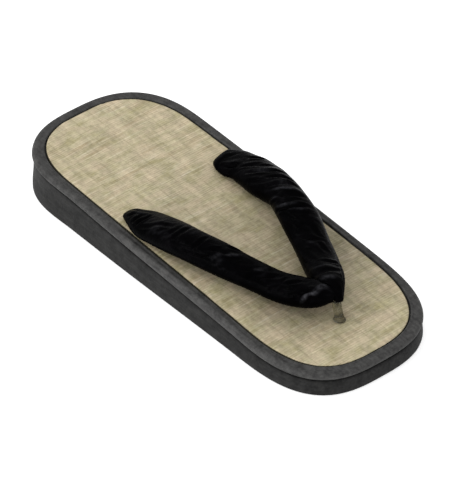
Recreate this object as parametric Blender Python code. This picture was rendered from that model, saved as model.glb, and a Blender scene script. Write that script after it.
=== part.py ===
"""Zori sandal: wedge sole in two rubber layers, an inlaid rush mat, a padded V strap and a clear toe post.

Metres, +Z up. The toe points to -Y, the heel to +Y and +X runs across to the wearer's left.
The origin is on the ground, in the middle of the sole's box.
"""
import math

import bmesh
import bpy
from mathutils import Vector

MM = 0.001

# ---------------------------------------------------------------- sole, seen from above
LENGTH = 270 * MM          # heel to toe
HALF_HEEL = 49.6 * MM      # half width that the heel's curve starts from
HALF_WAIST = 51.8 * MM     # half width under the arch
HALF_BALL = 53.5 * MM      # half width that the toe's curve starts from
HEEL_ROUND = 53.5 * MM     # length of the heel's curve, and how square it is
HEEL_SQUARE = 2.76
TOE_ROUND = 66.5 * MM
TOE_SQUARE = 2.84
TOE_SWING = 1.3 * MM       # the middle line leans this far to -X at both ends
BALL_SWING = 1.0 * MM      # and back again between ball and waist
WAIST_SWING = 2.5 * MM     # and a little to +X halfway to each end
SIDE_SWELL = 1.9 * MM      # fuller before the heel, slimmer behind the ball

# ---------------------------------------------------------------- sole, seen from the side
# heel to toe: height of the rim's top edge and of the seam between the two rubber layers over
# the ground, and width of the rim beside the mat
SIDE = (
    # y,   rim top z, seam z, rim width (mm)
    (135.0, 27.0, 22.6, 6.0),
    (90.0, 26.2, 21.0, 6.0),
    (60.0, 25.2, 19.1, 5.9),
    (30.0, 24.0, 17.2, 5.6),
    (0.0, 22.5, 15.3, 5.3),
    (-30.0, 20.8, 13.4, 5.1),
    (-60.0, 18.9, 11.6, 5.1),
    (-90.0, 16.8, 9.9, 5.3),
    (-135.0, 14.6, 9.7, 6.6),
)
MAT_DEPTH = 2.4 * MM       # the mat's bed lies this far under the rim's top
MAT_LOW = 0.35 * MM        # and the mat's top this far under it
MAT_GROOVE = 0.9           # open groove between rim and mat, mm
# the wall stands out more at the heel's two corners: it grows between the first two places along
# the sole and goes back between the last two
HEEL_CORNER = (72.0, 112.0, 117.0, 134.0)
GAP = 0.3 * MM

# ---------------------------------------------------------------- strap
# the two arms of the V, heel to toe: middle line, and half its width and thickness there
ARM_MINUS_X = (
    # y,     x,    z,  half_w, half_t
    (39.8, -37.6, 26.4, 3.4, 1.2),
    (38.2, -37.7, 27.1, 5.0, 2.2),
    (35.5, -37.8, 27.8, 6.2, 3.1),
    (31.0, -37.9, 28.4, 7.8, 4.1),
    (26.0, -37.8, 29.0, 9.7, 5.1),
    (20.0, -37.5, 29.7, 11.1, 5.9),
    (6.0, -36.4, 31.8, 11.1, 7.6),
    (-10.0, -34.4, 33.3, 10.6, 7.9),
    (-24.0, -30.6, 32.6, 10.6, 7.7),
    (-38.0, -25.6, 30.5, 10.3, 7.2),
    (-52.0, -20.1, 28.4, 9.8, 6.9),
    (-66.0, -14.8, 27.1, 9.8, 7.1),
    (-77.0, -9.9, 28.2, 9.4, 7.3),
    (-85.0, -6.2, 30.1, 8.3, 6.7),
    (-90.5, -3.4, 31.3, 5.8, 5.2),
    (-94.4, -1.2, 31.2, 2.8, 2.8),
)
ARM_PLUS_X = (
    # y,     x,    z,  half_w, half_t
    (46.0, 33.4, 28.0, 2.8, 1.6),
    (45.0, 33.6, 28.2, 5.2, 2.6),
    (43.0, 34.3, 28.5, 7.8, 3.4),
    (40.0, 35.5, 28.7, 10.0, 3.8),
    (34.5, 36.3, 28.9, 12.0, 4.2),
    (28.0, 37.4, 29.1, 11.6, 4.8),
    (20.0, 37.5, 29.8, 12.4, 5.9),
    (6.0, 36.4, 31.8, 12.1, 7.6),
    (-10.0, 34.4, 33.3, 11.2, 7.9),
    (-24.0, 30.6, 32.6, 11.4, 7.7),
    (-38.0, 25.6, 30.5, 11.2, 7.2),
    (-52.0, 20.1, 28.4, 10.6, 6.9),
    (-66.0, 13.9, 27.8, 10.3, 7.1),
    (-77.0, 8.3, 29.4, 9.5, 7.3),
    (-85.0, 4.6, 31.4, 7.6, 6.6),
    (-90.5, 2.4, 31.4, 5.5, 5.4),
    (-94.2, 1.2, 29.6, 3.6, 4.0),
    (-96.2, 0.4, 27.9, 2.4, 2.6),
)
ARM_STEPS = 30             # rings along an arm
ARM_SIDES = 20             # corners of a ring
TAIL_X = 37.4 * MM         # where the arms' tails go down through mat and footbed
TAIL_Y = 38.0 * MM
TAIL_HALF_W = 4.0 * MM     # flat cloth tail
TAIL_HALF_T = 1.8 * MM
TAB_R = 9.0 * MM           # glued end of a tail, between the two rubber layers

# ---------------------------------------------------------------- toe post
POST_Y = -97.5 * MM
POST_LEAN = 4.0 * MM       # its top stands this far towards the heel
POST_R = 2.6 * MM
POST_FOOT_R = 3.6 * MM     # flare where it leaves the mat
POST_TOP = 31.0 * MM
POST_DISC_R = 8.0 * MM     # disc between the two rubber layers

RING = 96                  # points round the sole, a multiple of four


# ---------------------------------------------------------------- helpers
def clear_scene():
    for ob in list(bpy.data.objects):
        bpy.data.objects.remove(ob, do_unlink=True)


def material(name, colour, rough, metal=0.0, alpha=1.0, transmission=0.0):
    m = bpy.data.materials.new(name)
    m.use_nodes = True
    b = m.node_tree.nodes["Principled BSDF"]
    b.inputs["Base Color"].default_value = (*colour, 1)
    b.inputs["Roughness"].default_value = rough
    b.inputs["Metallic"].default_value = metal
    b.inputs["Transmission Weight"].default_value = transmission
    return m


def new_object(name, bm, mat=None, smooth=None):
    bmesh.ops.recalc_face_normals(bm, faces=bm.faces)
    me = bpy.data.meshes.new(name)
    bm.to_mesh(me)
    bm.free()
    ob = bpy.data.objects.new(name, me)
    bpy.context.scene.collection.objects.link(ob)
    if mat:
        me.materials.append(mat)
    if smooth is not None:
        me.shade_smooth()
        me.set_sharp_from_angle(angle=math.radians(smooth))
    return ob


def boolean(target, cutter, operation):
    mod = target.modifiers.new(operation.lower() + "_" + cutter.name, "BOOLEAN")
    mod.operation = operation
    mod.solver = "EXACT"
    mod.object = cutter
    cutter.hide_render = True
    cutter.display_type = "WIRE"


def lerp_table(table, key, column):
    """Smooth (Catmull-Rom) value of one column at a place along a table sorted on column 0."""
    rows = sorted(table)
    k = 0
    while k < len(rows) - 2 and key > rows[k + 1][0]:
        k += 1
    r0, r1 = rows[max(k - 1, 0)], rows[k]
    r2, r3 = rows[k + 1], rows[min(k + 2, len(rows) - 1)]
    t = min(max((key - r1[0]) / (r2[0] - r1[0]), 0.0), 1.0)
    span = r2[0] - r1[0]
    m1 = (r2[column] - r0[column]) / (r2[0] - r0[0]) * span
    m2 = (r3[column] - r1[column]) / (r3[0] - r1[0]) * span
    a, b = r1[column], r2[column]
    return ((2 * t**3 - 3 * t**2 + 1) * a + (t**3 - 2 * t**2 + t) * m1
            + (-2 * t**3 + 3 * t**2) * b + (t**3 - t**2) * m2)


def rim_top(y):
    return lerp_table(SIDE, y / MM, 1) * MM


def seam(y):
    return lerp_table(SIDE, y / MM, 2) * MM


def rim_width(y):
    return lerp_table(SIDE, y / MM, 3) * MM


# ---------------------------------------------------------------- sole outline
def half_width(y):
    """Half width of the sole along its length, before the ends are rounded."""
    u = 2 * y / LENGTH
    mean = (HALF_HEEL + HALF_BALL) / 2
    return (HALF_WAIST + (HALF_HEEL - HALF_BALL) / 2 * u + (mean - HALF_WAIST) * u * u
            + SIDE_SWELL * (u - u**3))


def middle(y):
    """The sole's middle line: it leans a little to -X at toe and heel."""
    u = 2 * y / LENGTH
    return -TOE_SWING * u * u + BALL_SWING * (u**3 - u) - WAIST_SWING * (u**4 - u * u)


def outline(inset=lambda y: 0.0, n=RING):
    """Closed outline, toe tip first, up the +X side to the heel and back down the -X side.

    Its two sides have their points at the same y, so straight lines across join them.
    """
    half = n // 2
    rows = []
    ends = inset(-LENGTH / 2), inset(LENGTH / 2)
    toe, heel = -LENGTH / 2 + ends[0], LENGTH / 2 - ends[1]
    toe_round, heel_round = TOE_ROUND - ends[0] * 0.8, HEEL_ROUND - ends[1] * 0.8
    n_toe = half * 3 // 8
    n_heel = half * 3 // 8
    n_mid = half - n_toe - n_heel
    for i in range(n_toe):
        a = math.pi / 2 * i / n_toe
        c = math.cos(a) ** (2 / TOE_SQUARE)
        s = math.sin(a) ** (2 / TOE_SQUARE)
        rows.append((toe + toe_round * (1 - c), s))
    for i in range(n_mid + 1):
        rows.append((toe + toe_round + (heel - heel_round - toe - toe_round) * i / n_mid, 1.0))
    for i in range(n_heel - 1, -1, -1):
        a = math.pi / 2 * i / n_heel
        c = math.cos(a) ** (2 / HEEL_SQUARE)
        s = math.sin(a) ** (2 / HEEL_SQUARE)
        rows.append((heel - heel_round * (1 - c), s))
    plus = [(middle(y) + (half_width(y) - inset(y)) * e, y) for y, e in rows]
    minus = [(middle(y) - (half_width(y) - inset(y)) * e, y) for y, e in rows]
    return plus + minus[-2:0:-1]


def ring(bm, inset, height, n=RING):
    return [bm.verts.new((x, y, height(y))) for x, y in outline(inset, n)]


def skin(bm, a, b):
    for i in range(len(a)):
        j = (i + 1) % len(a)
        bm.faces.new((a[i], a[j], b[j], b[i]))


def cap(bm, loop):
    """Closes a ring with strips straight across, so the face follows the sole's side curve."""
    n = len(loop)
    half = n // 2
    bm.faces.new((loop[0], loop[1], loop[n - 1]))
    for i in range(1, half - 1):
        bm.faces.new((loop[i], loop[i + 1], loop[n - i - 1], loop[n - i]))
    bm.faces.new((loop[half - 1], loop[half], loop[half + 1]))


def stack(name, rings, mat, smooth=35):
    """Solid from rings (inset, height), bottom to top or round a wall."""
    bm = bmesh.new()
    loops = [ring(bm, inset, height) for inset, height in rings]
    for a, b in zip(loops, loops[1:]):
        skin(bm, a, b)
    cap(bm, loops[0])
    cap(bm, loops[-1])
    return new_object(name, bm, mat, smooth)


def smoothstep(a, b, x):
    t = min(max((x - a) / (b - a), 0.0), 1.0)
    return t * t * (3 - 2 * t)


def at(inset, fuller=0.0):
    """Inset in mm, standing out by fuller more at the heel's corners."""
    a, b, c, d = HEEL_CORNER
    return lambda y: (inset - fuller * smoothstep(a, b, y / MM) * (1 - smoothstep(c, d, y / MM))) * MM


def under_top(depth):
    return lambda y: rim_top(y) - depth * MM


def up_layer(share, extra=0.0):
    """Height at a share of the way from the seam to the rim's top."""
    return lambda y: seam(y) * (1 - share) + rim_top(y) * share + extra * MM


# ---------------------------------------------------------------- tubes
def tube(name, rows, sides, mat=None, smooth=60):
    """Loft of ellipses: rows of (centre, width direction, thickness direction, half_w, half_t)."""
    bm = bmesh.new()
    loops = []
    for centre, across, up, half_w, half_t in rows:
        loops.append([
            bm.verts.new(centre + across * (half_w * math.cos(2 * math.pi * k / sides))
                         + up * (half_t * math.sin(2 * math.pi * k / sides)))
            for k in range(sides)])
    for a, b in zip(loops, loops[1:]):
        skin(bm, a, b)
    bm.faces.new(loops[0])
    bm.faces.new(loops[-1])
    return new_object(name, bm, mat, smooth)


def arm_rows(arm):
    """Rings of one arm, from its blunt rear end over the tail to the front of the V."""
    path = []
    y0, y1 = arm[0][0], arm[-1][0]
    for i in range(ARM_STEPS + 1):
        even = i / ARM_STEPS
        eased = 0.5 - 0.5 * math.cos(math.pi * even)      # closer rings at both ends
        y = y0 + (y1 - y0) * (0.6 * even + 0.4 * eased)
        x, z, w, t = (lerp_table(arm, y, c) * MM for c in (1, 2, 3, 4))
        path.append((Vector((x, y * MM, z)), w, t))
    rows = []
    for i, (p, w, t) in enumerate(path):
        ahead = path[min(i + 1, len(path) - 1)][0] - path[max(i - 1, 0)][0]
        ahead.normalize()
        across = ahead.cross(Vector((0, 0, 1))).normalized()
        rows.append((p, across, across.cross(ahead).normalized(), w, t))
    return rows


def tail(name, side, low, high, spare=0.0, mat=None):
    """Upright flat piece on a tail's place."""
    rows = [(Vector((side * TAIL_X, TAIL_Y, z)), Vector((1, 0, 0)), Vector((0, 1, 0)),
             TAIL_HALF_W + spare, TAIL_HALF_T + spare) for z in (low, high)]
    return tube(name, rows, 16, mat)


def lathe(name, profile, centre, lean=0.0, lean_from=0.0, sides=20, mat=None, smooth=40):
    """Turned piece: profile rows are (radius, z). It leans towards +Y above the height lean_from."""
    bm = bmesh.new()
    high = profile[-1][1]
    loops = []
    for r, z in profile:
        shift = lean * max(0.0, z - lean_from) / (high - lean_from) if lean else 0.0
        loops.append([
            bm.verts.new((centre[0] + r * math.cos(2 * math.pi * k / sides),
                          centre[1] + shift + r * math.sin(2 * math.pi * k / sides), z))
            for k in range(sides)])
    for a, b in zip(loops, loops[1:]):
        skin(bm, a, b)
    bm.faces.new(loops[0])
    bm.faces.new(loops[-1])
    return new_object(name, bm, mat, smooth)


clear_scene()
RUBBER = material("rubber", (0.022, 0.022, 0.024), 0.62)
RUBBER_TOP = material("rubber_footbed", (0.03, 0.03, 0.032), 0.58)
STRAW = material("rush_mat", (0.45, 0.38, 0.22), 0.7)
CLOTH = material("strap_cloth", (0.008, 0.008, 0.01), 0.75)
CLEAR = material("clear_plastic", (0.75, 0.74, 0.68), 0.15, transmission=0.8)

# ---------------------------------------------------------------- outsole: the wedge
outsole = stack("outsole", [
    (at(1.25, 0.95), lambda y: 0.0),
    (at(0.4, 1.2), lambda y: 0.45 * MM),
    (at(0.1, 1.15), lambda y: 1.4 * MM),
    (at(0.13, 0.8), lambda y: 0.36 * seam(y)),
    (at(0.4, 0.45), lambda y: 0.6 * seam(y)),
    (at(0.75, 0.7), lambda y: 0.82 * seam(y)),
    (at(1.1, 0.9), lambda y: seam(y) - 0.9 * MM),
    (at(1.8, 0.9), lambda y: seam(y) - 0.15 * MM),
], RUBBER)

# ---------------------------------------------------------------- footbed: upper layer with rim and bed
def rim_in(extra):
    return lambda y: rim_width(y) + extra * MM


footbed = stack("footbed", [
    (at(1.9, 1.3), lambda y: seam(y) + 0.15 * MM),
    (at(1.1, 1.6), up_layer(0.06, 0.5)),
    (at(0.5, 1.5), up_layer(0.24, 0.3)),
    (at(0.0, 0.7), up_layer(0.54)),
    (at(0.12, 0.1), up_layer(0.70)),
    (at(0.5), up_layer(0.84)),
    (at(1.2), up_layer(0.95)),
    (at(2.1), up_layer(1.0, -0.05)),
    (rim_in(-0.6), under_top(0.0)),
    (rim_in(-0.1), under_top(0.3)),
    (rim_in(0.0), under_top(0.7)),
    (rim_in(0.0), lambda y: rim_top(y) - MAT_DEPTH),
], RUBBER_TOP)

# ---------------------------------------------------------------- mat, laid in the bed
mat_piece = stack("straw_mat", [
    (rim_in(MAT_GROOVE), lambda y: rim_top(y) - MAT_DEPTH + 0.2 * MM),
    (rim_in(MAT_GROOVE), lambda y: rim_top(y) - MAT_LOW - 0.5 * MM),
    (rim_in(MAT_GROOVE + 0.4), lambda y: rim_top(y) - MAT_LOW),
], STRAW)

# ---------------------------------------------------------------- strap: two padded arms, one solid
strap = tube("strap", arm_rows(ARM_PLUS_X), ARM_SIDES, CLOTH)
other = tube("strap_minus_x_arm", arm_rows(ARM_MINUS_X), ARM_SIDES)
boolean(strap, other, "UNION")
bed_z = seam(TAIL_Y - TAB_R) + 0.3 * MM       # the lowest part of the sloping seam over a tab
for side, tag in ((1, "plus_x"), (-1, "minus_x")):
    boolean(strap, tail("strap_tail_" + tag, side, bed_z - 1.0 * MM, rim_top(TAIL_Y) + 2.4 * MM), "UNION")
    tab = lathe("strap_tab_" + tag, [
        (TAB_R - 0.4 * MM, bed_z - 1.8 * MM), (TAB_R, bed_z - 1.4 * MM), (TAB_R, bed_z - 0.7 * MM),
        (TAB_R - 0.4 * MM, bed_z - 0.35 * MM)], (side * TAIL_X, TAIL_Y))
    boolean(strap, tab, "UNION")

# ---------------------------------------------------------------- clear toe post
post_mat = rim_top(POST_Y) - MAT_LOW
post_bed = seam(POST_Y)
toe_post = lathe("toe_post", [
    (POST_DISC_R - 0.4 * MM, post_bed - 1.8 * MM),
    (POST_DISC_R, post_bed - 1.4 * MM),
    (POST_DISC_R, post_bed - 0.7 * MM),
    (POST_DISC_R - 0.5 * MM, post_bed - 0.35 * MM),
    (POST_R, post_bed - 0.35 * MM + 0.02 * MM),
    (POST_R, post_mat + 0.4 * MM),
    (POST_FOOT_R, post_mat + 0.6 * MM),
    (POST_FOOT_R - 0.1 * MM, post_mat + 1.0 * MM),
    (POST_R + 0.3 * MM, post_mat + 2.0 * MM),
    (POST_R, post_mat + 4.0 * MM),
    (POST_R, POST_TOP - 1.0 * MM),
    (POST_R - 0.6 * MM, POST_TOP),
], (0.0, POST_Y), lean=POST_LEAN, lean_from=post_mat, mat=CLEAR)
post_socket = lathe("post_socket", [
    (POST_R + GAP, post_mat + 4.0 * MM),
    (POST_R + GAP, POST_TOP + 0.1 * MM),
    (POST_R - 0.2 * MM, POST_TOP + 0.6 * MM),
], (0.0, POST_Y), lean=POST_LEAN * 1.04, lean_from=post_mat)
boolean(strap, post_socket, "DIFFERENCE")

# ---------------------------------------------------------------- holes and pockets
post_hole = lathe("post_hole", [(POST_R + GAP, 0.5 * post_bed), (POST_R + GAP, post_mat + 3 * MM)],
                  (0.0, POST_Y))
post_pocket = lathe("post_pocket", [(POST_DISC_R + GAP, post_bed - 1.8 * MM - GAP),
                                    (POST_DISC_R + GAP, post_bed + 1.0 * MM)], (0.0, POST_Y))
boolean(outsole, post_pocket, "DIFFERENCE")
boolean(footbed, post_hole, "DIFFERENCE")
boolean(mat_piece, post_hole, "DIFFERENCE")
for side, tag in ((1, "plus_x"), (-1, "minus_x")):
    slot = tail("tail_slot_" + tag, side, bed_z - 0.5 * MM, rim_top(TAIL_Y) + 2.0 * MM, GAP)
    boolean(footbed, slot, "DIFFERENCE")
    boolean(mat_piece, slot, "DIFFERENCE")
    pocket = lathe("tab_pocket_" + tag, [(TAB_R + GAP, bed_z - 1.8 * MM - GAP), (TAB_R + GAP, bed_z + 1.5 * MM)],
                   (side * TAIL_X, TAIL_Y))
    boolean(outsole, pocket, "DIFFERENCE")
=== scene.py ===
"""Looks of the zori sandal: foam rubber sole, rush mat, padded cloth strap and clear toe post.

Metres, +Z up, the toe points to -Y and +X is the wearer's left. Everything is built from the
shoe's own sizes and rides on the one body of the CAD model.
"""
import math

import bpy
import numpy as np
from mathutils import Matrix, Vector


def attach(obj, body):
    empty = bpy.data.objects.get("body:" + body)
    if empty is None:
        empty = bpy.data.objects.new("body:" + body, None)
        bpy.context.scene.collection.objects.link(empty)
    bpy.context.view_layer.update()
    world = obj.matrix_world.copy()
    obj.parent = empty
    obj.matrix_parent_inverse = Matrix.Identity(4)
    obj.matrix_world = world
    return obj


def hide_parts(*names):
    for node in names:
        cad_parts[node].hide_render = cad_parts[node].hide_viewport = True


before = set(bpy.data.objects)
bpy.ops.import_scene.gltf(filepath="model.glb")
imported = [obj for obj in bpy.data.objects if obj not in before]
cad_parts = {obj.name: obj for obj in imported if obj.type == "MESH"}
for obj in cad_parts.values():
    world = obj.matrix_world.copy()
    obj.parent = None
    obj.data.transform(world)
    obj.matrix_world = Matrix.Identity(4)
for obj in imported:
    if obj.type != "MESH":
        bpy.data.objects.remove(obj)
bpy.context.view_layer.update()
MM = 0.001

# ---------------------------------------------------------------- sizes, in mm
LENGTH = 270.0
HALF_HEEL, HALF_WAIST, HALF_BALL = 49.6, 51.8, 53.5
HEEL_ROUND, HEEL_SQUARE = 53.5, 2.76
TOE_ROUND, TOE_SQUARE = 66.5, 2.84
TOE_SWING, BALL_SWING, WAIST_SWING, SIDE_SWELL = 1.3, 1.0, 2.5, 1.9
# sole seen from the side, heel to toe: rim's top, seam between the two rubber layers, rim's width
SIDE = (
    # y, rim top z, seam z, rim width
    (135.0, 27.0, 22.6, 6.0), (90.0, 26.2, 21.0, 6.0), (60.0, 25.2, 19.1, 5.9), (30.0, 24.0, 17.2, 5.6),
    (0.0, 22.5, 15.3, 5.3), (-30.0, 20.8, 13.4, 5.1), (-60.0, 18.9, 11.6, 5.1), (-90.0, 16.8, 9.9, 5.3),
    (-135.0, 14.6, 9.7, 6.6),
)
MAT_DEPTH, MAT_LOW = 2.4, 0.35
STRAND = 1.5               # pitch of the rush strands
WARP = 12.0                # spacing of the warp threads
# patches of painted shade on the mat round the strap, where its shadow falls
STRAP_SHADE = (
    # x, y, half sizes, how much darker
    (-13.0, -74.0, 26.0, 24.0, 0.38), (0.0, -20.0, 24.0, 34.0, 0.15), (40.0, -34.0, 12.0, 46.0, 0.40),
    (0.0, 40.0, 18.0, 22.0, 0.08),
)
POST_Y, POST_LEAN, POST_R, POST_TOP = -97.5, 4.0, 2.6, 31.0
TAIL_X, TAIL_Y, TAIL_HALF_W, TAIL_HALF_T = 37.4, 38.0, 4.0, 1.8

# arms of the strap: middle line, half width and half thickness, heel to toe
ARM_MINUS_X = (
    # y, x, z, half_w, half_t
    (39.8, -37.6, 26.4, 3.4, 1.2), (38.2, -37.7, 27.1, 5.0, 2.2), (35.5, -37.8, 27.8, 6.2, 3.1),
    (31.0, -37.9, 28.4, 7.8, 4.1), (26.0, -37.8, 29.0, 9.7, 5.1), (20.0, -37.5, 29.6, 11.1, 5.9),
    (6.0, -36.4, 31.8, 11.1, 7.6), (-10.0, -34.4, 33.3, 10.6, 7.9),
    (-24.0, -30.6, 32.6, 10.6, 7.7), (-38.0, -25.6, 30.5, 10.3, 7.2), (-52.0, -20.1, 28.4, 9.8, 6.9),
    (-66.0, -14.8, 27.1, 9.8, 7.1), (-77.0, -9.9, 28.2, 9.4, 7.3), (-85.0, -6.2, 30.1, 8.3, 6.7),
    (-90.5, -3.4, 31.3, 5.8, 5.2), (-94.4, -1.2, 31.2, 2.8, 2.8),
)
ARM_PLUS_X = (
    # y, x, z, half_w, half_t
    (44.3, 31.4, 26.6, 3.2, 1.8), (43.4, 31.6, 26.9, 5.8, 2.7), (41.8, 32.3, 27.3, 8.3, 3.4),
    (39.4, 33.6, 27.6, 10.0, 3.7), (34.2, 35.4, 28.1, 11.8, 4.2), (28.0, 37.0, 28.8, 11.5, 4.8), (20.0, 37.5, 29.7, 12.4, 5.9),
    (6.0, 35.9, 31.7, 12.6, 7.6),
    (-10.0, 34.3, 33.3, 10.1, 7.9), (-24.0, 30.3, 32.6, 10.9, 7.7), (-38.0, 25.6, 30.5, 11.2, 7.2),
    (-52.0, 20.1, 28.4, 10.6, 6.9), (-66.0, 13.9, 27.8, 10.3, 7.1), (-77.0, 8.3, 29.4, 9.5, 7.3),
    (-85.0, 4.6, 31.4, 7.6, 6.6), (-90.5, 2.4, 31.4, 5.5, 5.4), (-94.2, 1.2, 29.6, 3.6, 4.0),
    (-96.2, 0.4, 27.9, 2.4, 2.6),
)


# ---------------------------------------------------------------- small helpers
def table(rows, key, column):
    """Smooth (Catmull-Rom) values of one column at places along a table sorted on column 0."""
    t = np.array(sorted(rows), float)
    x, y = t[:, 0], t[:, column]
    m = np.gradient(y, x)
    m[1:-1] = (y[2:] - y[:-2]) / (x[2:] - x[:-2])
    k = np.clip(np.searchsorted(x, key, side="right") - 1, 0, len(x) - 2)
    h = x[k + 1] - x[k]
    u = np.clip((key - x[k]) / h, 0, 1)
    return ((2 * u**3 - 3 * u**2 + 1) * y[k] + (u**3 - 2 * u**2 + u) * m[k] * h
            + (-2 * u**3 + 3 * u**2) * y[k + 1] + (u**3 - u**2) * m[k + 1] * h)


def ripple(a, b, seed, octaves=((1.0, 1.0), (2.1, 0.5), (4.3, 0.25))):
    """Smooth unpatterned field of two coordinates, about -1 to 1, the same on every run."""
    r = np.random.RandomState(seed)
    out = np.zeros(np.broadcast(a, b).shape)
    total = 0.0
    for f, w in octaves:
        for _ in range(5):
            d = r.uniform(0, 2 * math.pi)
            g = f * r.uniform(0.7, 1.4)
            out += w * np.sin(g * (a * math.cos(d) + b * math.sin(d)) + r.uniform(0, 2 * math.pi))
        total += w
    return out / (total * 2.6)


def smoothstep(a, b, x):
    t = np.clip((x - a) / (b - a), 0, 1)
    return t * t * (3 - 2 * t)


def rim_top(y):
    return table(SIDE, y, 1)


def half_width(y):
    u = 2 * y / LENGTH
    mean = (HALF_HEEL + HALF_BALL) / 2
    return (HALF_WAIST + (HALF_HEEL - HALF_BALL) / 2 * u + (mean - HALF_WAIST) * u * u
            + SIDE_SWELL * (u - u**3))


def middle(y):
    u = 2 * y / LENGTH
    return -TOE_SWING * u * u + BALL_SWING * (u**3 - u) - WAIST_SWING * (u**4 - u * u)


def seam(y):
    return table(SIDE, y, 2)


def rim_width(y):
    return table(SIDE, y, 3)


def ends(inset):
    toe_in, heel_in = float(inset(-LENGTH / 2)), float(inset(LENGTH / 2))
    return (-LENGTH / 2 + toe_in, TOE_ROUND - toe_in * 0.8,
            LENGTH / 2 - heel_in, HEEL_ROUND - heel_in * 0.8)


def side_rows(inset, n):
    """Places along the sole with the share of the half width there, toe to heel."""
    toe, toe_round, heel, heel_round = ends(inset)
    half = n // 2
    n_toe = n_heel = half * 3 // 8
    n_mid = half - n_toe - n_heel
    a = math.pi / 2 * np.arange(n_toe) / n_toe
    y1, e1 = toe + toe_round * (1 - np.cos(a) ** (2 / TOE_SQUARE)), np.sin(a) ** (2 / TOE_SQUARE)
    y2 = toe + toe_round + (heel - heel_round - toe - toe_round) * np.arange(n_mid + 1) / n_mid
    a = math.pi / 2 * np.arange(n_heel - 1, -1, -1) / n_heel
    y3, e3 = heel - heel_round * (1 - np.cos(a) ** (2 / HEEL_SQUARE)), np.sin(a) ** (2 / HEEL_SQUARE)
    return np.concatenate([y1, y2, y3]), np.concatenate([e1, np.ones(n_mid + 1), e3])


def outline(inset, n):
    y, e = side_rows(inset, n)
    w = half_width(y) - inset(y)
    plus = np.stack([middle(y) + w * e, y], 1)
    minus = np.stack([middle(y) - w * e, y], 1)
    return np.concatenate([plus, minus[-2:0:-1]])


def share(y, inset):
    """Share of the half width at places along a sole outline with this inset."""
    toe, toe_round, heel, heel_round = ends(inset)
    t = np.clip((toe + toe_round - y) / toe_round, 0, 1)
    h = np.clip((y - heel + heel_round) / heel_round, 0, 1)
    return (1 - t**TOE_SQUARE) ** (1 / TOE_SQUARE) * (1 - h**HEEL_SQUARE) ** (1 / HEEL_SQUARE)


# ---------------------------------------------------------------- meshes
def mesh_object(name, verts, faces, mat, smooth=None):
    me = bpy.data.meshes.new(name)
    me.from_pydata((np.asarray(verts, float) * MM).tolist(), [], faces)
    me.validate()
    me.update()
    me.shade_smooth()
    if smooth is not None:
        me.set_sharp_from_angle(angle=math.radians(smooth))
    ob = bpy.data.objects.new(name, me)
    bpy.context.scene.collection.objects.link(ob)
    me.materials.append(mat)
    return ob


def quads(rows, cols, closed=True, start=0):
    """Faces of a grid of points: rows of cols points, each row closed on itself or open."""
    out = []
    last = cols if closed else cols - 1
    for r in range(rows - 1):
        a, b = start + r * cols, start + (r + 1) * cols
        for c in range(last):
            d = (c + 1) % cols
            out.append((a + c, a + d, b + d, b + c))
    return out


def strips(n, start, flip):
    """Closes a ring with strips straight across."""
    half = n // 2
    out = [(start, start + 1, start + n - 1)]
    out += [(start + i, start + i + 1, start + n - i - 1, start + n - i) for i in range(1, half - 1)]
    out.append((start + half - 1, start + half, start + half + 1))
    return [f[::-1] for f in out] if flip else out


def dense(profile, per=5):
    """Smooth run through the profile's points: rows of (inset, share of height, extra height)."""
    p = np.array(profile, float)
    t = np.arange(len(p))
    fine = np.linspace(0, len(p) - 1, (len(p) - 1) * per + 1)
    cols = [table(np.stack([t, p[:, c]], 1).tolist(), fine, 1) for c in range(p.shape[1])]
    return np.stack(cols, 1)


def heel_corner(y):
    """1 at the heel's two corners, 0 elsewhere."""
    return smoothstep(72.0, 112.0, y) * (1 - smoothstep(117.0, 134.0, y))


def sole_layer(name, profile, low, high, mat, n=512, wave=None, inner=None):
    """Closed layer: profile rows are (inset, share of the way from low(y) to high(y), extra mm, more outward at the heel's corners)."""
    verts = []
    rows = dense(profile)
    for inset, t, extra, fuller in rows:
        xy = outline(lambda y: inset - fuller * heel_corner(y), n)
        z = low(xy[:, 1]) * (1 - t) + high(xy[:, 1]) * t + extra
        verts.append(np.column_stack([xy, z]))
    for share_in, extra_in, drop in inner or ():
        # across the rim's top, from the outer roll to the inner wall, and down beside the mat
        edge = profile[-1][0]
        xy = outline(lambda y: edge * (1 - share_in) + rim_width(y) * share_in + extra_in, n)
        verts.append(np.column_stack([xy, high(xy[:, 1]) - drop]))
    grid = np.array(verts)
    if wave is not None:
        grid = wave(grid, len(rows))
    flat = grid.reshape(-1, 3)
    faces = quads(len(grid), n)
    faces += strips(n, 0, True) + strips(n, (len(grid) - 1) * n, False)
    return mesh_object(name, flat, faces, mat, 40)


# ---------------------------------------------------------------- materials
def new_material(name):
    m = bpy.data.materials.new(name)
    m.use_nodes = True
    nt = m.node_tree
    return m, nt, nt.nodes["Principled BSDF"]


def node(nt, kind, **values):
    n = nt.nodes.new(kind)
    for k, v in values.items():
        if k in n.inputs:
            n.inputs[k].default_value = v
        else:
            setattr(n, k, v)
    return n


def coords(nt, scale=(1, 1, 1), rotation=(0, 0, 0)):
    """Object coordinates in mm, stretched."""
    tc = node(nt, "ShaderNodeTexCoord")
    mp = node(nt, "ShaderNodeMapping")
    mp.inputs["Scale"].default_value = [1000 * s for s in scale]
    mp.inputs["Rotation"].default_value = rotation
    nt.links.new(tc.outputs["Object"], mp.inputs["Vector"])
    return mp.outputs["Vector"]


def noise(nt, vector, size, detail=3.0, rough=0.55, distort=0.0):
    n = node(nt, "ShaderNodeTexNoise")
    n.inputs["Scale"].default_value = 1.0 / size
    n.inputs["Detail"].default_value = detail
    n.inputs["Roughness"].default_value = rough
    n.inputs["Distortion"].default_value = distort
    nt.links.new(vector, n.inputs["Vector"])
    return n.outputs["Fac"]


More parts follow.
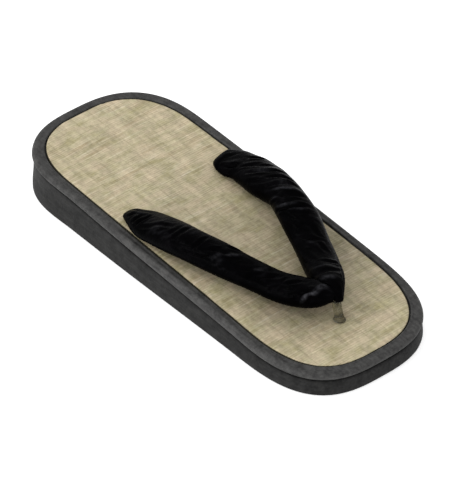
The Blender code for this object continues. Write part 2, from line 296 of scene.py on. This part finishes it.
def ramp(nt, fac, stops, interpolation="LINEAR"):
    r = node(nt, "ShaderNodeValToRGB")
    r.color_ramp.interpolation = interpolation
    el = r.color_ramp.elements
    while len(el) < len(stops):
        el.new(0.5)
    for e, (p, c) in zip(el, stops):
        e.position = p
        e.color = (*c, 1) if isinstance(c, tuple) else (c, c, c, 1)
    nt.links.new(fac, r.inputs["Fac"])
    return r.outputs["Color"]


def maths(nt, op, a, b=None, clamp=False):
    n = node(nt, "ShaderNodeMath", operation=op)
    n.use_clamp = clamp
    for i, v in enumerate((a, b)):
        if v is None:
            continue
        if isinstance(v, (int, float)):
            n.inputs[i].default_value = v
        else:
            nt.links.new(v, n.inputs[i])
    return n.outputs[0]


def mix(nt, fac, a, b, blend="MIX"):
    n = node(nt, "ShaderNodeMix", data_type="RGBA", blend_type=blend)
    for s, v in ((0, fac), (6, a), (7, b)):
        if isinstance(v, (int, float)):
            n.inputs[s].default_value = v
        elif isinstance(v, tuple):
            n.inputs[s].default_value = (*v, 1)
        else:
            nt.links.new(v, n.inputs[s])
    return n.outputs[2]


def bump(nt, height, strength, distance_mm, normal=None):
    b = node(nt, "ShaderNodeBump")
    b.inputs["Strength"].default_value = strength
    b.inputs["Distance"].default_value = distance_mm * MM
    nt.links.new(height, b.inputs["Height"])
    if normal is not None:
        nt.links.new(normal, b.inputs["Normal"])
    return b.outputs["Normal"]


def rubber(name, dark, light, rough):
    m, nt, b = new_material(name)
    v = coords(nt)
    along = coords(nt, (1, 0.12, 1))
    blotch = noise(nt, v, 5.0, 3)
    speck = noise(nt, v, 1.6, 4, 0.7)
    streak = noise(nt, along, 1.6, 2)
    fac = maths(nt, "ADD", maths(nt, "MULTIPLY", blotch, 0.35), maths(nt, "MULTIPLY", speck, 0.4))
    fac = maths(nt, "ADD", fac, maths(nt, "MULTIPLY", streak, 0.25))
    col = ramp(nt, fac, [(0.40, dark), (0.60, light)])
    sep = node(nt, "ShaderNodeSeparateXYZ")
    nt.links.new(v, sep.inputs[0])
    # painted shade: the wall darkens to near black in its lowest 1.5 mm, where it meets the floor
    foot = maths(nt, "MULTIPLY", maths(nt, "SUBTRACT", 1.5, sep.outputs["Z"]), 0.8, True)
    col = mix(nt, maths(nt, "MULTIPLY", foot, 0.8), col, (0.002, 0.002, 0.002))
    nt.links.new(col, b.inputs["Base Color"])
    nt.links.new(ramp(nt, speck, [(0.3, rough - 0.08), (0.7, rough + 0.1)]), b.inputs["Roughness"])
    b.inputs["Specular IOR Level"].default_value = 0.12
    pores = node(nt, "ShaderNodeTexVoronoi", feature="F1")
    pores.inputs["Scale"].default_value = 1 / 0.55
    nt.links.new(v, pores.inputs["Vector"])
    n1 = bump(nt, ramp(nt, pores.outputs["Distance"], [(0.0, 0.0), (0.45, 1.0)]), 0.35, 0.12)
    n2 = bump(nt, noise(nt, v, 1.4, 3, 0.65), 0.5, 0.35, n1)
    n3 = bump(nt, noise(nt, along, 5.0, 2), 0.5, 0.6, n2)
    nt.links.new(n3, b.inputs["Normal"])
    return m


def rush(name):
    m, nt, b = new_material(name)
    v = coords(nt)
    sep = node(nt, "ShaderNodeSeparateXYZ")
    nt.links.new(v, sep.inputs[0])
    drift = node(nt, "ShaderNodeTexNoise")
    drift.inputs["Scale"].default_value = 1 / 40.0
    drift.inputs["Detail"].default_value = 1
    nt.links.new(v, drift.inputs["Vector"])
    y = maths(nt, "ADD", sep.outputs["Y"],
              maths(nt, "MULTIPLY", maths(nt, "SUBTRACT", drift.outputs["Fac"], 0.5), 2.0))
    strand = maths(nt, "DIVIDE", y, STRAND)
    which = maths(nt, "FLOOR", strand)
    own = node(nt, "ShaderNodeTexWhiteNoise", noise_dimensions="1D")
    nt.links.new(which, own.inputs["W"])
    place = node(nt, "ShaderNodeCombineXYZ")      # each strand has its own drifting tone
    nt.links.new(maths(nt, "DIVIDE", sep.outputs["X"], 26.0), place.inputs["X"])
    nt.links.new(maths(nt, "MULTIPLY", own.outputs["Value"], 190.0), place.inputs["Y"])
    tone = node(nt, "ShaderNodeTexNoise")
    tone.inputs["Scale"].default_value = 1.0
    tone.inputs["Detail"].default_value = 3
    nt.links.new(place.outputs[0], tone.inputs["Vector"])
    straw = ramp(nt, tone.outputs["Fac"], [
        (0.28, (0.40, 0.335, 0.205)), (0.40, (0.465, 0.405, 0.262)), (0.50, (0.51, 0.445, 0.300)),
        (0.60, (0.535, 0.475, 0.318)), (0.72, (0.59, 0.53, 0.385))])
    patch = ramp(nt, noise(nt, coords(nt, (1, 1.6, 1)), 13.0, 3, 0.6), [
        (0.30, (0.785, 0.79, 0.66)), (0.45, (0.93, 0.935, 0.893)), (0.55, (1.02, 0.99, 0.99)),
        (0.70, (1.09, 1.03, 1.05))])
    col = mix(nt, 1.0, straw, patch, "MULTIPLY")
    plaid = ramp(nt, noise(nt, coords(nt, (1.0, 0.14, 1)), 3.4, 3, 0.6), [(0.35, 0.85), (0.5, 0.99), (0.65, 1.08)])
    col = mix(nt, 1.0, col, plaid, "MULTIPLY")
    blot = ramp(nt, noise(nt, v, 2.4, 4, 0.65), [(0.36, 0.87), (0.5, 1.0), (0.66, 1.07)])
    col = mix(nt, 1.0, col, blot, "MULTIPLY")
    fibre = noise(nt, coords(nt, (0.06, 2.2, 1)), 0.5, 3, 0.7)
    col = mix(nt, 1.0, col, ramp(nt, fibre, [(0.3, 0.86), (0.5, 1.0), (0.7, 1.09)]), "MULTIPLY")
    # dark gaps between strands, here and there
    phase = maths(nt, "ABSOLUTE", maths(nt, "SUBTRACT", maths(nt, "FRACT", strand), 0.5))
    gap = maths(nt, "MULTIPLY", maths(nt, "SUBTRACT", phase, 0.30), 5.0, True)
    gate = ramp(nt, noise(nt, coords(nt, (0.16, 1.0, 1)), 1.5, 2, 0.6), [(0.42, 0.12), (0.62, 1.0)])
    dark = maths(nt, "MULTIPLY", gap, gate)
    col = mix(nt, maths(nt, "MULTIPLY", dark, 0.55), col, (0.17, 0.135, 0.062))
    # warp threads
    wx = maths(nt, "ADD", maths(nt, "DIVIDE", sep.outputs["X"], WARP), 0.23)
    wp = maths(nt, "ABSOLUTE", maths(nt, "SUBTRACT", maths(nt, "FRACT", wx), 0.5))
    wline = maths(nt, "MULTIPLY", maths(nt, "SUBTRACT", 0.055, wp), 22.0, True)
    wgate = ramp(nt, noise(nt, coords(nt, (1.0, 0.5, 1)), 5.0, 2, 0.6), [(0.35, 0.1), (0.6, 1.0)])
    col = mix(nt, maths(nt, "MULTIPLY", maths(nt, "MULTIPLY", wline, wgate), 0.32), col, (0.24, 0.20, 0.11))
    # painted shade: the mat is darkened round the strap, where the strap shades it
    for wx0, wy0, rx, ry, amount in STRAP_SHADE:
        dx = maths(nt, "DIVIDE", maths(nt, "SUBTRACT", sep.outputs["X"], wx0), rx)
        dy = maths(nt, "DIVIDE", maths(nt, "SUBTRACT", sep.outputs["Y"], wy0), ry)
        r2 = maths(nt, "ADD", maths(nt, "MULTIPLY", dx, dx), maths(nt, "MULTIPLY", dy, dy))
        spot = maths(nt, "DIVIDE", amount, maths(nt, "ADD", maths(nt, "MULTIPLY", r2, r2), 1.0))
        col = mix(nt, spot, col, mix(nt, 1.0, col, (0.0, 0.0, 0.0), "MIX"))
    nt.links.new(col, b.inputs["Base Color"])
    nt.links.new(ramp(nt, fibre, [(0.3, 0.62), (0.7, 0.5)]), b.inputs["Roughness"])
    b.inputs["Specular IOR Level"].default_value = 0.3
    n1 = bump(nt, fibre, 0.4, 0.08)
    n2 = bump(nt, noise(nt, coords(nt, (0.5, 2.0, 1)), 3.0, 2), 0.5, 0.25, n1)
    nt.links.new(n2, b.inputs["Normal"])
    return m


def rush_groove_shade(name):
    """Mat's outer faces painted dark: painted shade down in the groove."""
    m, nt, b = new_material(name)
    fac = noise(nt, coords(nt), 1.2, 3, 0.6)
    nt.links.new(ramp(nt, fac, [(0.35, (0.022, 0.021, 0.014)), (0.65, (0.055, 0.050, 0.034))]), b.inputs["Base Color"])
    nt.links.new(ramp(nt, fac, [(0.3, 0.8), (0.7, 0.92)]), b.inputs["Roughness"])
    b.inputs["Specular IOR Level"].default_value = 0.1
    nt.links.new(bump(nt, fac, 0.5, 0.2), b.inputs["Normal"])
    return m


def cloth(name):
    m, nt, b = new_material(name)
    v = coords(nt)
    tone = noise(nt, v, 7.0, 4, 0.6)
    col = ramp(nt, tone, [(0.35, (0.0003, 0.0003, 0.0004)), (0.6, (0.0009, 0.0008, 0.0011)),
                          (0.75, (0.0018, 0.0016, 0.0020))])
    # painted sheen: the strap is lightened on fold ridges and its upper side, as if they caught the light
    painted_sheen = node(nt, "ShaderNodeAttribute", attribute_name="painted_sheen")
    patchy = ramp(nt, noise(nt, v, 2.2, 3, 0.6), [(0.38, 0.25), (0.62, 1.0)])
    col = mix(nt, maths(nt, "MULTIPLY", painted_sheen.outputs["Fac"], patchy, True), col, (0.072, 0.072, 0.081))
    nt.links.new(col, b.inputs["Base Color"])
    nt.links.new(ramp(nt, noise(nt, v, 3.5, 3), [(0.35, 0.20), (0.65, 0.34)]), b.inputs["Roughness"])
    b.inputs["Specular IOR Level"].default_value = 0.009
    pile = noise(nt, v, 0.35, 2, 0.6)
    n1 = bump(nt, pile, 0.25, 0.08)
    n2 = bump(nt, noise(nt, v, 2.6, 3, 0.6, 0.6), 0.55, 0.55, n1)
    nt.links.new(n2, b.inputs["Normal"])
    return m


POST_FOOT = 17.6      # top of the post's flared foot


def clear(name):
    m, nt, b = new_material(name)
    v = coords(nt)
    col = ramp(nt, noise(nt, v, 3.0, 1), [(0.35, (0.26, 0.25, 0.18)), (0.65, (0.50, 0.48, 0.37))])
    sep = node(nt, "ShaderNodeSeparateXYZ")
    nt.links.new(v, sep.inputs[0])
    foot = maths(nt, "MULTIPLY", maths(nt, "SUBTRACT", POST_FOOT, sep.outputs["Z"]), 1.2, True)
    col = mix(nt, maths(nt, "MULTIPLY", foot, 0.75), col, (0.07, 0.062, 0.04))
    nt.links.new(col, b.inputs["Base Color"])
    nt.links.new(ramp(nt, noise(nt, v, 1.2), [(0.3, 0.14), (0.7, 0.26)]), b.inputs["Roughness"])
    b.inputs["Transmission Weight"].default_value = 0.9
    b.inputs["IOR"].default_value = 1.18
    nt.links.new(bump(nt, noise(nt, v, 1.5), 0.2, 0.15), b.inputs["Normal"])
    return m


def floor_material(name):
    m, nt, b = new_material(name)
    v = coords(nt)
    nt.links.new(ramp(nt, noise(nt, v, 60.0), [(0.3, 0.84), (0.7, 0.86)]), b.inputs["Base Color"])
    b.inputs["Roughness"].default_value = 0.9
    b.inputs["Specular IOR Level"].default_value = 0.1
    b.inputs["Emission Color"].default_value = (1, 1, 1, 1)
    b.inputs["Emission Strength"].default_value = 0.5
    return m


SOLE = rubber("rubber_sole", (0.0085, 0.0084, 0.0083), (0.0238, 0.0236, 0.023), 0.66)
TOP = rubber("rubber_rim", (0.030, 0.0295, 0.029), (0.069, 0.068, 0.066), 0.6)
RUSH = rush("rush")
RUSH_GROOVE_SHADE = rush_groove_shade("rush_groove_shade")
CLOTH = cloth("strap_cloth")
CLEAR = clear("clear_plastic")


# ---------------------------------------------------------------- sole
def foam(grid, rows):
    """Slight unevenness of moulded foam on the walls; the ground face stays flat."""
    x, y, z = grid[..., 0], grid[..., 1], grid[..., 2]
    around = np.arctan2(y * 0.4, x) * 60
    d = 0.22 * ripple(around / 9, z / 5, 11)
    low = smoothstep(0.2, 2.0, z)
    d = d * low
    r = np.hypot(x, y * 0.4) + 1e-6
    grid[..., 0] += d * x / r
    grid[..., 1] += d * y * 0.4 / r
    return grid


zero = lambda y: 0 * y
outsole = sole_layer("outsole_visual", [
    # inset, share of height, extra mm, more outward at the heel's corners
    (1.5, 0.0, 0.0, 0.9), (1.0, 0.0, 0.06, 1.0), (0.4, 0.0, 0.45, 1.1), (0.12, 0.0, 1.3, 1.15),
    (0.08, 0.12, 1.4, 1.0), (0.15, 0.36, 0.0, 0.8), (0.4, 0.6, 0.0, 0.45), (0.75, 0.82, 0.0, 0.7),
    (1.05, 1.0, -1.0, 0.9), (1.6, 1.0, -0.4, 0.9), (2.6, 1.0, -0.16, 0.8),
], zero, seam, SOLE, wave=foam)
footbed = sole_layer("footbed_visual", [
    (2.7, 0.0, 0.15, 1.0), (1.8, 0.0, 0.35, 1.3), (1.15, 0.05, 0.55, 1.6), (0.7, 0.17, 0.5, 1.6),
    (0.2, 0.36, 0.2, 1.3), (0.0, 0.55, 0.0, 0.7), (0.12, 0.70, 0.0, 0.1), (0.5, 0.84, 0.0, 0.0),
    (1.2, 0.945, 0.0, 0.0), (2.1, 1.0, -0.08, 0.0),
], seam, rim_top, TOP, inner=[
    # share of the way across the rim's top, extra inset, drop
    (0.15, 0.0, 0.12), (0.32, 0.0, 0.34), (0.52, 0.0, 0.44), (0.70, 0.0, 0.30), (1.0, -1.05, 0.06), (1.0, -0.75, 0.0),
    (1.0, -0.45, 0.05), (1.0, -0.2, 0.2), (1.0, -0.05, 0.45), (1.0, 0.0, 0.8), (1.0, 0.0, MAT_DEPTH)])

# ---------------------------------------------------------------- rush mat
EDGE = 0.65


def mat_inset(y):
    return rim_width(y) + EDGE


toe_y, _, heel_y, _ = ends(mat_inset)
step = 0.36
ys = np.arange(toe_y + 0.18, heel_y - 0.05, step)
tips = np.array([0.004, 0.02, 0.06, 0.11])
ys = np.concatenate([toe_y + tips, ys, heel_y - tips[::-1]])
COLS = 84
cols = np.linspace(-1, 1, COLS)
cols = np.sign(cols) * (1 - (1 - np.abs(cols)) ** 1.15)
w = (half_width(ys) - mat_inset(ys)) * share(ys, mat_inset)
X = middle(ys)[:, None] + w[:, None] * cols[None, :]
Y = np.repeat(ys[:, None], COLS, 1)
bend = 0.35 * ripple(X / 30, Y / 60, 5)
phase = (Y + bend) / STRAND
relief = 0.13 * (np.abs(np.cos(math.pi * phase)) - 0.5)
warp = np.exp(-((np.mod(X / WARP + 0.23, 1) - 0.5) * WARP / 0.9) ** 2)
over = np.sign(np.sin(math.pi * np.floor(phase) + math.pi / 2))
relief -= 0.14 * warp * (0.75 + 0.25 * over)
relief += 0.22 * ripple(X / 9, Y / 5, 7)
edge_drop = 0.5 * (1 - smoothstep(0, 1.1, (1 - np.abs(cols))[None, :] * w[:, None]))
end_drop = 0.4 * (1 - smoothstep(0, 1.0, np.minimum(ys - toe_y, heel_y - ys)))[:, None]
Z = rim_top(Y) - MAT_LOW + 0.1 + relief - np.maximum(edge_drop, end_drop)
top_pts = np.stack([X, Y, Z], 2)
bot_pts = np.stack([X, Y, rim_top(Y) - MAT_DEPTH + 0.1 + 0 * X], 2)
n_rows = len(ys)
border = ([(r, COLS - 1) for r in range(n_rows)] + [(n_rows - 1, c) for c in range(COLS - 2, -1, -1)]
          + [(r, 0) for r in range(n_rows - 2, -1, -1)] + [(0, c) for c in range(1, COLS - 1)])
mat_verts = np.concatenate([top_pts.reshape(-1, 3), [bot_pts[r, c] for r, c in border]])
mat_faces = quads(n_rows, COLS, closed=False)
nb = len(border)
base = n_rows * COLS
for i, (r, c) in enumerate(border):
    j = (i + 1) % nb
    r2, c2 = border[j]
    mat_faces.append((r2 * COLS + c2, r * COLS + c, base + i, base + j))
half_b = nb // 2
mat_faces.append(tuple(base + i for i in range(nb))[::-1])
straw_mat = mesh_object("straw_mat_visual", mat_verts, mat_faces, RUSH, 60)
straw_mat.data.materials.append(RUSH_GROOVE_SHADE)
# painted shade: the mat's skirt, outermost columns and end rows take the dark material
for k, poly in enumerate(straw_mat.data.polygons):
    r, c = divmod(k, COLS - 1)
    if r >= n_rows - 1 or c in (0, COLS - 2) or r < 3 or r > n_rows - 5:
        poly.material_index = 1


# ---------------------------------------------------------------- strap
def arm_path(rows, steps):
    """Points and frames along an arm, heel to toe, and mm along it, 10 where the sole's y is 40."""
    t = np.arange(steps + 1) / steps
    eased = 0.5 - 0.5 * np.cos(math.pi * t)
    y = rows[0][0] + (rows[-1][0] - rows[0][0]) * (0.55 * t + 0.45 * eased)
    x, z, hw, ht = (table(rows, y, c) for c in (1, 2, 3, 4))
    p = np.stack([x, y, z], 1)
    ahead = np.zeros_like(p)
    ahead[1:-1] = p[2:] - p[:-2]
    ahead[0], ahead[-1] = p[1] - p[0], p[-1] - p[-2]
    ahead /= np.linalg.norm(ahead, axis=1)[:, None]
    across = np.cross(ahead, (0, 0, 1))
    across /= np.linalg.norm(across, axis=1)[:, None]
    up = np.cross(across, ahead)
    s = np.concatenate([[0], np.cumsum(np.linalg.norm(np.diff(p, axis=0), axis=1))])
    return p, across, up, hw, ht, s - np.interp(-40.0, -y, s) + 10.0


def crease(S, A, at, angle, turn, length, width, depth):
    """Soft trough with low ridges beside it, on an arm's skin: at mm along, angle round it."""
    ds = S - at
    da = (np.mod(A - angle + 180, 360) - 180) * math.pi / 180 * 9.5
    c, s = math.cos(math.radians(turn)), math.sin(math.radians(turn))
    u, v = ds * c + da * s, -ds * s + da * c
    fade = np.exp(-np.abs(u / length) ** 3)
    return depth * fade * (-np.exp(-(v / width) ** 2) + 0.45 * np.exp(-((np.abs(v) - 1.9 * width) / width) ** 2))


def trough_depth(creases, S, A):
    """How far the ridges among the creases stand out, as a negative depth."""
    return sum((-np.clip(crease(S, A, *c), 0, None) for c in creases if c[-1] < 0), np.zeros_like(S))


def arm(rows, creases, seed, steps=320, sides=120, lumps=0.3, diagonal=0.22, slant=38.0):
    p, across, up, hw, ht, s = arm_path(rows, steps)
    a = 2 * math.pi * np.arange(sides) / sides
    S = np.repeat(s[:, None], sides, 1)
    A = np.repeat(np.degrees(a)[None, :], len(s), 0)
    ca, sa = np.cos(a), np.sin(a)
    e = 2 / 2.2
    ca, sa = np.sign(ca) * np.abs(ca) ** e, np.sign(sa) * np.abs(sa) ** e
    rel = np.zeros_like(S)
    for c in creases:
        rel += crease(S, A, *c)
    theta = np.radians(A)
    # painted sheen: the ridges among the creases are marked to be lightened in the cloth's colour
    painted_sheen = np.clip(-trough_depth(creases, S, A), 0, None) ** 2.5
    rel += lumps * ripple(S / 8, np.cos(theta) * 2.2, seed)
    # short slanting wrinkles, on the side that faces up
    c, d = math.cos(math.radians(slant)), math.sin(math.radians(slant))
    R = np.radians(np.mod(A + 90, 360) - 180) * 9.5
    gate = smoothstep(-0.15, 0.45, ripple(S / 7, R / 6, seed + 2))
    fold = (diagonal * ripple((S * d - R * c) / 1.7, (S * c + R * d) / 4.0, seed + 1)
            * np.clip(np.sin(theta) * 1.5 + 0.2, 0, 1) * gate)
    rel += fold
    # the painted sheen also takes the wrinkles' tops, and is kept to the side that faces up, where the light falls
    facing = np.clip(np.sin(theta - 0.1) * 1.2 + 0.4, 0, 1) * np.clip(1.6 - np.abs(theta - 1.2), 0, 1)
    painted_sheen = np.clip(painted_sheen + np.clip(fold / diagonal, 0, 1) ** 2 * 0.22, 0, 1) * facing
    rel *= smoothstep(0.0, 5.0, S - s[0]) * smoothstep(0, 6, s[-1] - S)
    pts = (p[:, None, :] + across[:, None, :] * ((hw[:, None] + rel) * ca)[..., None]
           + up[:, None, :] * ((ht[:, None] + rel) * sa)[..., None])
    # stay off the mat where an arm lies low
    floor_z = rim_top(pts[..., 1]) - MAT_LOW + 0.35
    pts[..., 2] = np.maximum(pts[..., 2], floor_z)
    painted_sheen = np.concatenate([painted_sheen.reshape(-1), [0, 0]])
    verts = np.concatenate([pts.reshape(-1, 3), [p[0] + (p[0] - p[1]) * 2.0], [p[-1] + (p[-1] - p[-2]) * 1.2]])
    n = len(p)
    faces = quads(n, sides)
    faces += [(n * sides, (k + 1) % sides, k) for k in range(sides)]
    faces += [(n * sides + 1, (n - 1) * sides + k, (n - 1) * sides + (k + 1) % sides) for k in range(sides)]
    return verts, faces, painted_sheen


def tail(side, sides=32):
    """Flat cloth tail of an arm, down through mat and footbed."""
    a = 2 * math.pi * np.arange(sides) / sides
    low, high = float(seam(TAIL_Y)) - 0.8, float(rim_top(TAIL_Y)) + 2.4
    ring = [np.stack([side * TAIL_X + TAIL_HALF_W * np.cos(a), TAIL_Y + TAIL_HALF_T * np.sin(a), 0 * a + z], 1)
            for z in (low, high)]
    faces = quads(2, sides)
    faces.append(tuple(range(sides))[::-1])
    faces.append(tuple(range(sides, 2 * sides)))
    return np.concatenate(ring), faces, np.zeros(2 * sides)


# troughs, and with a negative depth ridges: mm along the arm, degrees round it (90 on top, 0 on
# the side towards -X), degrees from the arm's run, half length, half width and depth in mm
CREASES_MINUS = [
    # along, round, turn, length, width, depth
    (18, 66, 70, 3.0, 1.0, 0.7), (21, 92, 10, 6.0, 1.2, -0.5), (24, 60, 80, 3.5, 1.0, 0.9),
    (28.5, 68, 75, 4.5, 0.9, 0.8), (35, 48, 20, 6.0, 1.2, 0.6), (44, 76, 15, 5.0, 1.1, 0.6),
    (52, 55, 70, 5.0, 1.1, 0.5), (57, 84, 80, 6.0, 1.1, 0.5), (69, 76, 80, 5.0, 0.9, 0.8),
    (70, 37, 10, 7.0, 1.4, 0.6), (77.5, 76, 40, 4.0, 0.9, 0.7), (81.5, 81, 8, 5.0, 0.9, 0.7),
    (86, 122, 20, 4.0, 1.0, 0.8), (88, 90, 30, 5.0, 1.2, -0.65), (96, 56, 20, 7.0, 1.1, 0.6),
    (107, 46, 10, 6.0, 1.3, 0.6), (108, 94, 20, 4.0, 0.9, 0.7), (112, 74, 25, 7.0, 1.1, 0.8),
    (120, 55, 60, 6.0, 1.1, 0.6), (128, 78, 20, 6.0, 1.0, 0.6), (133, 36, 15, 6.0, 1.1, 0.6),
    (138.5, 20, 60, 4.5, 1.9, -1.1), (141, 54, 20, 3.0, 1.4, 1.2), (143.5, 46, 60, 2.4, 2.7, -0.8),
    (146, 84, 70, 4.5, 2.8, -0.7), (150, 72, 70, 6.0, 1.0, 0.8),
]
CREASES_PLUS = [
    # along, round, turn, length, width, depth
    (19, 55, 15, 4.5, 1.4, 1.2), (27, 118, 30, 4.0, 0.9, 0.7), (31, 84, 40, 5.0, 1.0, 0.7),
    (36, 96, 35, 5.0, 0.9, 0.7), (40, 72, 40, 5.0, 1.0, 0.6), (45, 96, 40, 5.0, 0.9, 0.8),
    (48, 45, 30, 6.0, 1.3, 0.7), (49, 112, 45, 5.0, 0.9, 0.7), (53, 92, 45, 5.0, 0.9, 0.7),
    (57, 108, 40, 4.5, 0.9, 0.7), (60, 84, 55, 7.0, 1.0, 0.9), (65, 82, 56, 8.0, 1.3, -0.7),
    (66, 22, 70, 5.0, 1.2, -0.6), (70, 80, 60, 7.0, 1.2, 1.0), (75.5, 52, 68, 7.0, 1.2, -0.7),
    (78, 62, 68, 8.0, 1.1, 1.1), (82, 84, 60, 5.0, 1.2, -0.5), (88, 60, 30, 8.0, 1.3, 0.5),
    (96, 96, 10, 8.0, 1.2, 0.5), (104, 78, 50, 6.0, 1.1, 0.6), (113, 102, 15, 5.0, 1.0, 0.7),
    (118, 50, 15, 8.0, 1.2, 0.6), (129, 118, 75, 6.0, 1.1, 0.7), (133, 74, 80, 7.0, 1.7, -0.45),
    (138.5, 84, 84, 9.0, 1.4, 0.8), (144, 74, 78, 7.0, 1.9, -0.6), (149, 62, 75, 7.0, 1.3, 0.8),
    (140, 152, 5, 12.0, 1.1, 0.8),
]

parts = [arm(ARM_MINUS_X, CREASES_MINUS, 21), arm(ARM_PLUS_X, CREASES_PLUS, 31, diagonal=0.24, lumps=0.42), tail(-1), tail(1)]
strap_verts, strap_faces = [], []
for v, f, _ in parts:
    start = sum(len(q) for q in strap_verts)
    strap_verts.append(v)
    strap_faces += [tuple(i + start for i in face) for face in f]
strap = mesh_object("strap_visual", np.concatenate(strap_verts), strap_faces, CLOTH)
# painted sheen for each point, read by the cloth material
layer = strap.data.attributes.new("painted_sheen", "FLOAT", "POINT")
layer.data.foreach_set("value", np.concatenate([c for _, _, c in parts]))


# ---------------------------------------------------------------- toe post
def lathe(name, profile, centre, lean, lean_from, mat, sides=48):
    prof = np.array(profile, float)
    a = 2 * math.pi * np.arange(sides) / sides
    high = prof[-1, 1]
    rings = []
    for r, z in prof:
        shift = lean * max(0.0, z - lean_from) / (high - lean_from)
        rings.append(np.stack([centre[0] + r * np.cos(a), centre[1] + shift + r * np.sin(a), 0 * a + z], 1))
    n = len(rings)
    verts = np.concatenate(rings)
    faces = quads(n, sides)
    faces.append(tuple(range(sides))[::-1])
    faces.append(tuple(range((n - 1) * sides, n * sides)))
    return mesh_object(name, verts, faces, mat, 50)


post_mat = float(rim_top(POST_Y)) - MAT_LOW
post_bed = float(seam(POST_Y))
toe_post = lathe("toe_post_visual", [
    (7.2, post_bed - 1.7), (7.8, post_bed - 1.3), (7.8, post_bed - 0.8), (7.2, post_bed - 0.4),
    (POST_R, post_bed - 0.3), (POST_R, post_mat + 0.25), (3.3, post_mat + 0.35), (3.6, post_mat + 0.6),
    (3.5, post_mat + 0.9), (3.15, post_mat + 1.3), (2.9, post_mat + 2.0), (2.7, post_mat + 3.0),
    (POST_R, post_mat + 4.5), (POST_R, POST_TOP - 1.0), (POST_R - 0.3, POST_TOP - 0.3), (POST_R - 0.9, POST_TOP),
], (0.0, POST_Y), POST_LEAN, post_mat, CLEAR)

# ---------------------------------------------------------------- pieces on the frame
for piece, name, slot in ((outsole, "outsole", "rubber_sole"), (footbed, "footbed", "rubber_rim"),
                          (straw_mat, "straw_mat", "rush"), (strap, "strap", "strap_cloth"),
                          (toe_post, "toe_post", "clear_plastic")):
    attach(piece, "root")
    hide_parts(name)

# ---------------------------------------------------------------- floor, light and camera
floor = mesh_object("floor", [(-6000, -6000, 0), (6000, -6000, 0), (6000, 6000, 0), (-6000, 6000, 0)],
                    [(0, 1, 2, 3)], floor_material("floor_paper"))


def area_light(name, place, power, size, aim=(0, 0, 0.01)):
    data = bpy.data.lights.new(name, "AREA")
    data.shape = "DISK"
    data.size = size
    data.energy = power
    ob = bpy.data.objects.new(name, data)
    ob.location = place
    ob.rotation_euler = (Vector(aim) - Vector(place)).to_track_quat("-Z", "Y").to_euler()
    bpy.context.scene.collection.objects.link(ob)


area_light("key", (-1.0, 0.95, 1.6), 6.5, 0.2)
area_light("side_card", (-1.7, 0.1, 0.55), 11.0, 0.9)

world = bpy.data.worlds.new("studio")
bpy.context.scene.world = world
world.use_nodes = True
world.node_tree.nodes["Background"].inputs["Color"].default_value = (1.0, 1.0, 1.0, 1)
world.node_tree.nodes["Background"].inputs["Strength"].default_value = 0.9

camera_data = bpy.data.cameras.new("camera")
camera_data.sensor_width = 36.0
camera_data.lens = 380.5
camera = bpy.data.objects.new("camera", camera_data)
camera.location = (-1.4453, -1.7212, 1.8328)
camera.rotation_euler = (Vector((0, 0, 0.0093)) - camera.location).to_track_quat("-Z", "Y").to_euler()
bpy.context.scene.collection.objects.link(camera)
bpy.context.scene.camera = camera
bpy.context.scene.view_settings.view_transform = "Standard"
